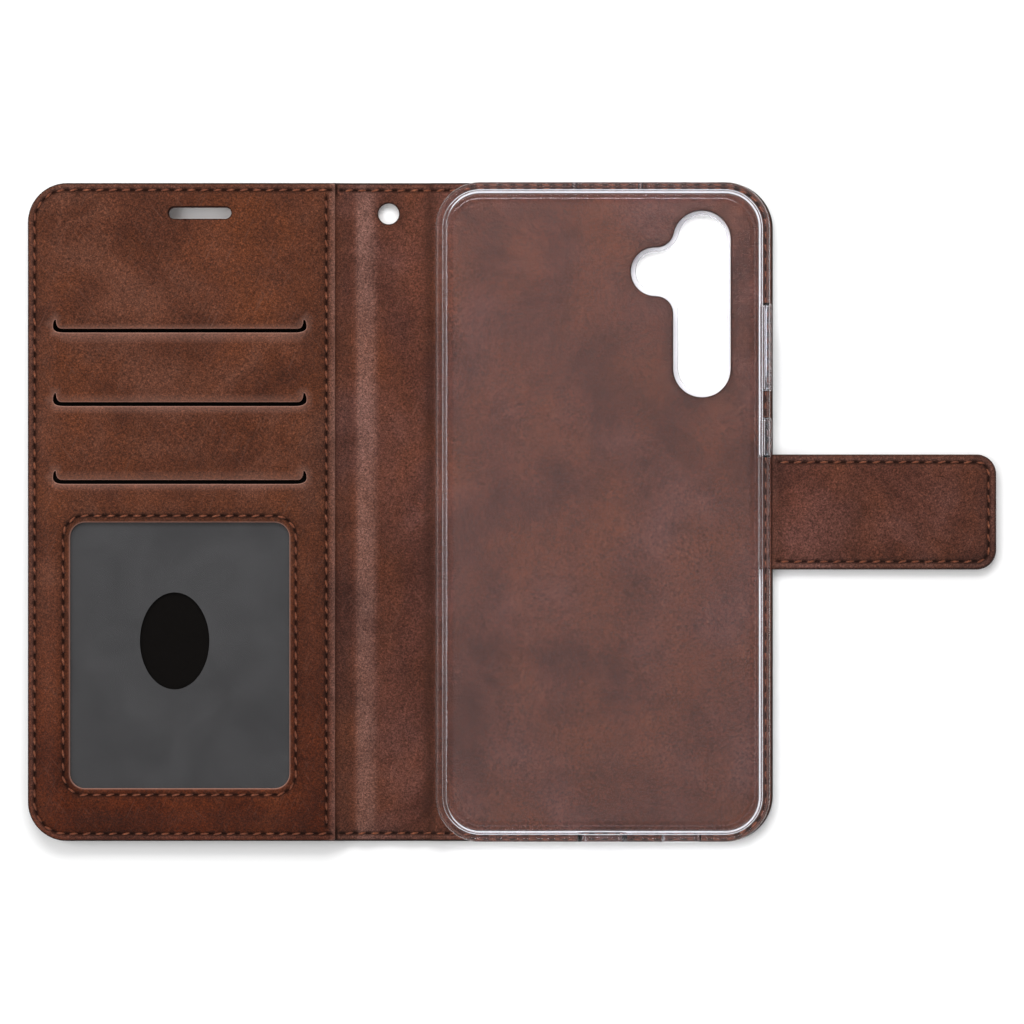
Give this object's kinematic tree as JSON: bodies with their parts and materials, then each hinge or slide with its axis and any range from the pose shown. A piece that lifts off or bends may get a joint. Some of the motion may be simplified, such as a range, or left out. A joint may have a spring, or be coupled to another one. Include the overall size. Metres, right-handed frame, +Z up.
{
  "type": "phone wallet case",
  "caption": "Folding leather phone wallet case with card slots, a clear identity window, a clear phone tray, a camera cut-out and a magnetic closing strap.",
  "frame": {"origin": "middle of the footprint of the open case, on the surface that it lies on", "axes": "+X from the front cover's free edge across the spine to the strap's tip, +Y along the spine towards the camera end, +Z up out of the open case's inside"},
  "size_m": [0.2222, 0.151, 0.0125],
  "materials": {
    "outer_leather": "satin",
    "lining_leather": "satin",
    "thread": "matte",
    "board": "matte",
    "textile": "matte",
    "steel": "satin",
    "clear_tray": "gloss",
    "adhesive": "gloss",
    "clear_film": "gloss"
  },
  "bodies": {
    "back_cover": {"back_outer_leather": "outer_leather", "back_board": "board", "back_lining": "lining_leather", "back_thread": "thread", "strap_root_tab": "outer_leather", "tray_adhesive_sheet": "adhesive", "phone_tray": "clear_tray"},
    "spine": {"spine_outer_leather": "outer_leather", "spine_lining": "lining_leather", "spine_thread": "thread"},
    "front_cover": {"front_outer_leather": "outer_leather", "front_board": "board", "clasp_keeper_plate": "steel", "front_lining": "lining_leather", "pocket_backing": "textile", "card_divider_1": "textile", "card_divider_2": "textile", "window_film": "clear_film", "card_panel": "outer_leather", "front_thread": "thread", "panel_side_thread": "thread", "window_thread": "thread"},
    "strap_side": {"strap_side_outer": "outer_leather", "strap_side_inner": "lining_leather", "strap_side_thread": "thread"},
    "strap_tip": {"strap_tip_outer": "outer_leather", "strap_tip_inner": "lining_leather", "strap_magnet": "steel", "strap_tip_thread": "thread"},
    "volume_button": {"volume_button_cover": "clear_tray"},
    "power_button": {"power_button_cover": "clear_tray"}
  },
  "joints": [
    {"name": "spine_fold", "type": "hinge", "parent": "back_cover", "child": "spine", "pos_m": [-0.01855, 0, 0.0007], "axis": [0, 1, 0], "range_deg": [-90, 90]},
    {"name": "cover_fold", "type": "hinge", "parent": "spine", "child": "front_cover", "pos_m": [-0.0359, 0, 0.0007], "axis": [0, 1, 0], "range_deg": [-90, 90]},
    {"name": "strap_root_fold", "type": "hinge", "parent": "back_cover", "child": "strap_side", "pos_m": [0.06065, 0, 0.0011], "axis": [0, -1, 0], "range_deg": [-90, 90]},
    {"name": "strap_tip_fold", "type": "hinge", "parent": "strap_side", "child": "strap_tip", "pos_m": [0.0793, 0, 0.0011], "axis": [0, -1, 0], "range_deg": [0, 90]},
    {"name": "volume_button_press", "type": "slide", "parent": "back_cover", "child": "volume_button", "axis": [-1, 0, 0], "range_m": [0, 0.0004], "stiffness_N_per_m": 4000},
    {"name": "power_button_press", "type": "slide", "parent": "back_cover", "child": "power_button", "axis": [-1, 0, 0], "range_m": [0, 0.0004], "stiffness_N_per_m": 4000}
  ]
}
